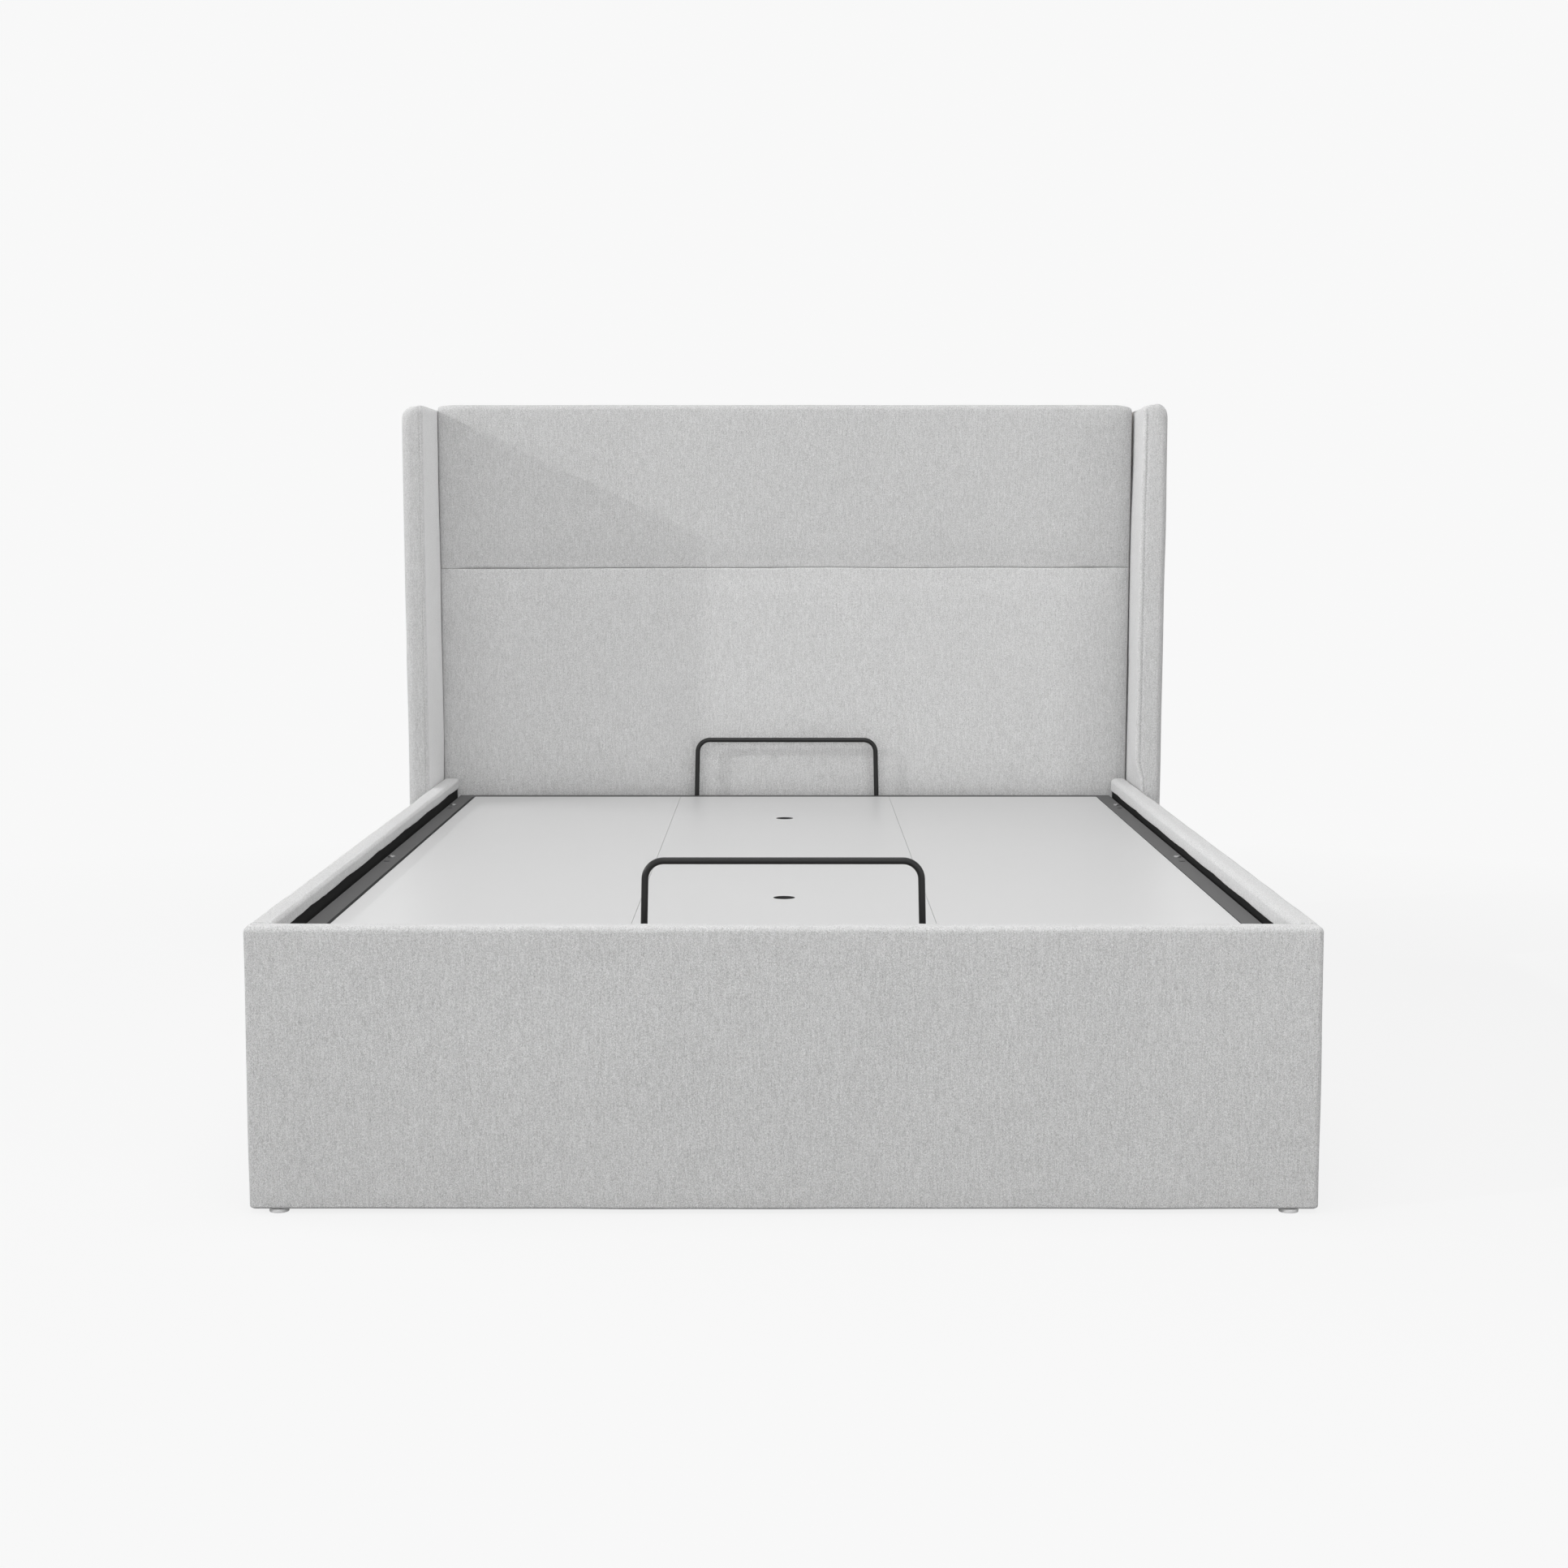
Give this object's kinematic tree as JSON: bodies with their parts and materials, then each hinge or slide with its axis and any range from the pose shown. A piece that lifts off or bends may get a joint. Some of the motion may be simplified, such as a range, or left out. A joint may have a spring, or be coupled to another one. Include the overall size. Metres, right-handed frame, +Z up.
{
  "type": "storage bed",
  "caption": "Upholstered storage bed: winged padded headboard, fabric-covered rails and foot panel, and a board platform that lifts on arms and gas struts over a storage base.",
  "frame": {"origin": "centre of the bounding box in plan, on the floor", "axes": "+Z up, +Y from the foot panel towards the headboard, +X to the right as seen from the foot"},
  "size_m": [1.6, 2.1508, 1.228],
  "materials": {
    "upholstery_fabric": "light grey chenille weave with fine vertical streaks",
    "black_lining": "black non-woven lining",
    "board_core": "raw board",
    "timber": "planed softwood",
    "glide_plastic": "black moulded plastic",
    "white_laminate": "satin white laminate",
    "grey_painted_steel": "dark grey powder coat",
    "black_painted_steel": "black powder coat",
    "polished_steel": "polished steel rod"
  },
  "bodies": {
    "base": {"foot_panel_cover": "upholstery_fabric", "right_rail_cover": "upholstery_fabric", "left_rail_cover": "upholstery_fabric", "headboard_upper_pad": "upholstery_fabric", "headboard_lower_pad": "upholstery_fabric", "right_wing_cover": "upholstery_fabric", "left_wing_cover": "upholstery_fabric", "foot_panel_lining": "black_lining", "right_rail_lining": "black_lining", "left_rail_lining": "black_lining", "headboard_back_lining": "black_lining", "foot_panel_board": "board_core", "right_rail_board": "board_core", "left_rail_board": "board_core", "right_floor_board": "board_core", "left_floor_board": "board_core", "headboard_panel": "board_core", "right_wing_board": "board_core", "left_wing_board": "board_core", "right_foot_corner_block": "timber", "left_foot_corner_block": "timber", "right_head_corner_block": "timber", "left_head_corner_block": "timber", "rest_batten": "timber", "right_floor_ledger": "timber", "left_floor_ledger": "timber", "centre_batten": "timber", "right_headboard_stile": "timber", "left_headboard_stile": "timber", "headboard_top_rail": "timber", "headboard_bottom_rail": "timber", "right_foot_glide": "glide_plastic", "left_foot_glide": "glide_plastic", "right_head_glide": "glide_plastic", "left_head_glide": "glide_plastic", "right_lift_base_plate": "grey_painted_steel", "left_lift_base_plate": "grey_painted_steel"},
    "rear_arms": {"right_lift_rear_arm": "grey_painted_steel", "left_lift_rear_arm": "grey_painted_steel"},
    "platform": {"right_platform_side_tube": "grey_painted_steel", "left_platform_side_tube": "grey_painted_steel", "platform_foot_tube": "grey_painted_steel", "platform_head_tube": "grey_painted_steel", "platform_cross_tube_1": "grey_painted_steel", "platform_cross_tube_2": "grey_painted_steel", "platform_cross_tube_3": "grey_painted_steel", "right_platform_board": "white_laminate", "left_platform_board": "white_laminate", "foot_mattress_bar": "black_painted_steel", "head_mattress_bar": "black_painted_steel", "right_lift_top_rail": "grey_painted_steel", "left_lift_top_rail": "grey_painted_steel"},
    "centre_board": {"centre_board": "white_laminate"},
    "front_arms": {"right_lift_front_arm": "grey_painted_steel", "left_lift_front_arm": "grey_painted_steel"},
    "strut_cylinders": {"right_strut_cylinder": "black_painted_steel", "left_strut_cylinder": "black_painted_steel"},
    "strut_rods": {"right_strut_rod": "polished_steel", "left_strut_rod": "polished_steel"}
  },
  "joints": [
    {"name": "platform_lift", "type": "hinge", "parent": "base", "child": "rear_arms", "pos_m": [0, 0.45875, 0.21098], "axis": [1, 0, 0], "range_deg": [0, 60]},
    {"name": "platform_tilt", "type": "hinge", "parent": "rear_arms", "child": "platform", "pos_m": [0, 0.76955, 0.306], "axis": [1, 0, 0], "range_deg": [-99.01, 0]},
    {"name": "front_arm_swing", "type": "hinge", "parent": "base", "child": "front_arms", "pos_m": [0, 0.31372, 0.06511], "axis": [1, 0, 0], "range_deg": [0, 48.01]},
    {"name": "strut_cylinder_swing", "type": "hinge", "parent": "base", "child": "strut_cylinders", "pos_m": [0, 0.6073, 0.046], "axis": [1, 0, 0], "range_deg": [0, 30.01]},
    {"name": "strut_rod_swing", "type": "hinge", "parent": "rear_arms", "child": "strut_rods", "pos_m": [0, 0.67105, 0.27589], "axis": [1, 0, 0], "range_deg": [-30.01, 0]},
    {"name": "centre_board_lift", "type": "slide", "parent": "platform", "child": "centre_board", "axis": [0, 0, 1], "range_m": [0, 0.25]}
  ],
  "couplings": [
    {"joint": "platform_tilt", "follows": "platform_lift", "ratio": -1.65},
    {"joint": "front_arm_swing", "follows": "platform_lift", "ratio": 0.8},
    {"joint": "strut_cylinder_swing", "follows": "platform_lift", "ratio": 0.5},
    {"joint": "strut_rod_swing", "follows": "platform_lift", "ratio": -0.5}
  ]
}
